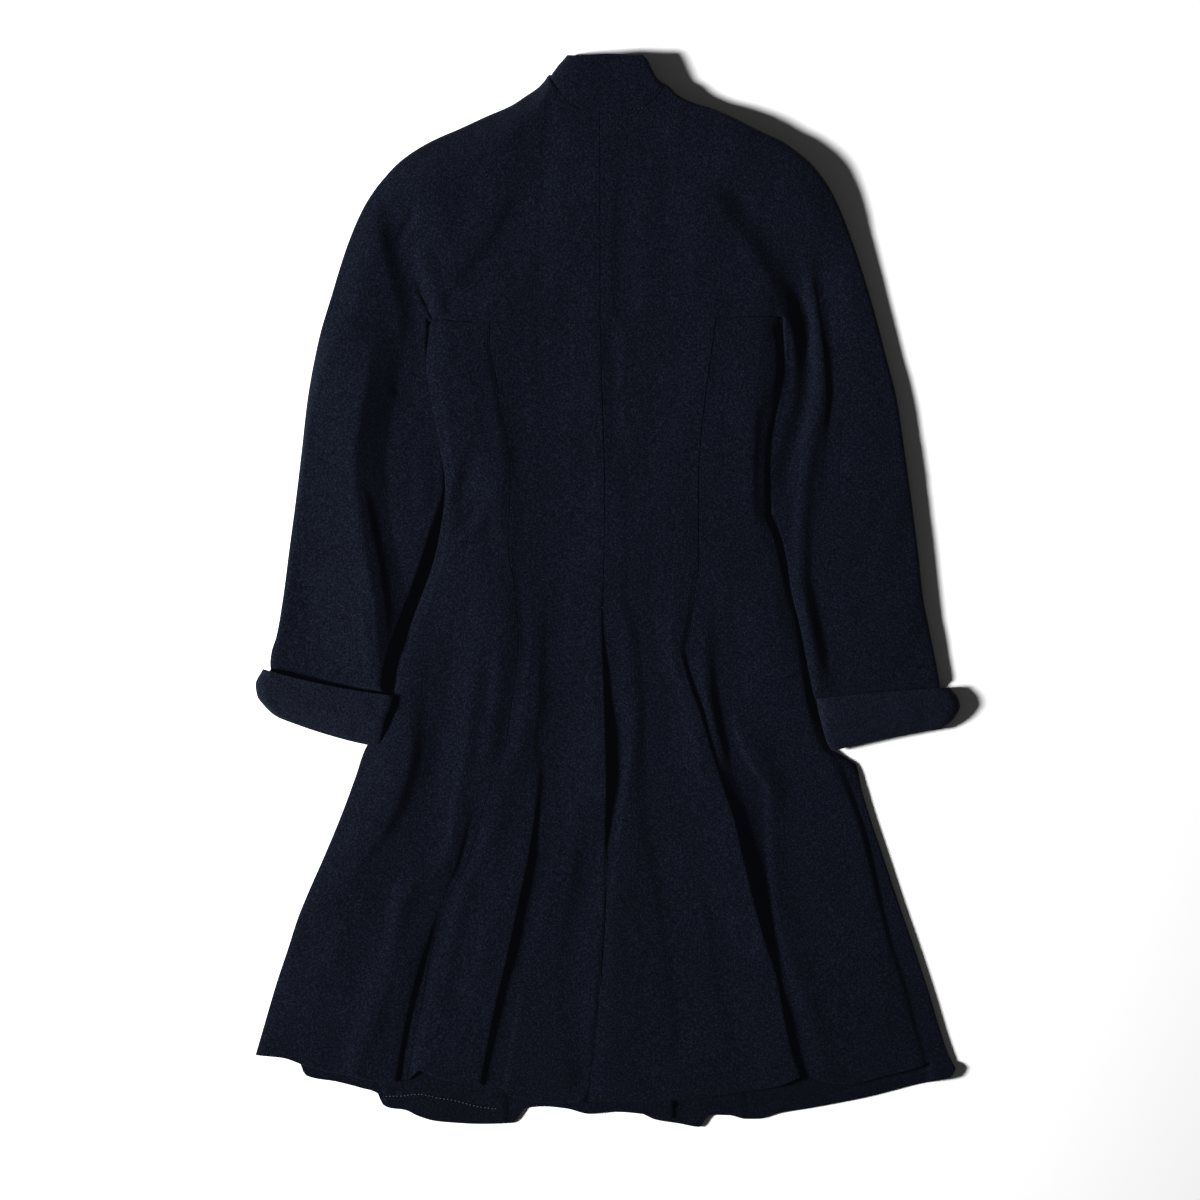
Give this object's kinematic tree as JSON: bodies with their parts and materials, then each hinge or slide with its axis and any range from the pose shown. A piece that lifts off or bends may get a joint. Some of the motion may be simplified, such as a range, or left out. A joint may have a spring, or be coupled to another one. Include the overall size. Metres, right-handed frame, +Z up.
{
  "type": "a-line coat",
  "caption": "Knee-length princess-line wool coat with flared skirt, yoke cut in one with the sleeves, standing collar and turned-back cuffs, laid flat, back up",
  "frame": {"origin": "middle of the laid-out coat's box, on the surface that it lies on", "axes": "+Z up from the surface, back of the coat up; +Y from hem to collar; +X to the coat's own right side"},
  "size_m": [0.7031, 1.0707, 0.0293],
  "materials": {
    "wool": "matt dark navy wool crepe, fine pebbly grain with a light nap",
    "wool_cuff": "matt dark navy wool crepe, the cuffs a little lighter where they catch the light"
  },
  "bodies": {
    "root": {"back_yoke_sleeve_l": "wool", "back_yoke_sleeve_r": "wool", "centre_back_l": "wool", "centre_back_r": "wool", "side_back_l": "wool", "side_back_r": "wool", "front_yoke_sleeve_l": "wool", "front_yoke_sleeve_r": "wool", "front_body_l": "wool", "front_body_r": "wool", "collar": "wool", "cuff_l": "wool_cuff", "cuff_r": "wool_cuff"}
  },
  "joints": []
}
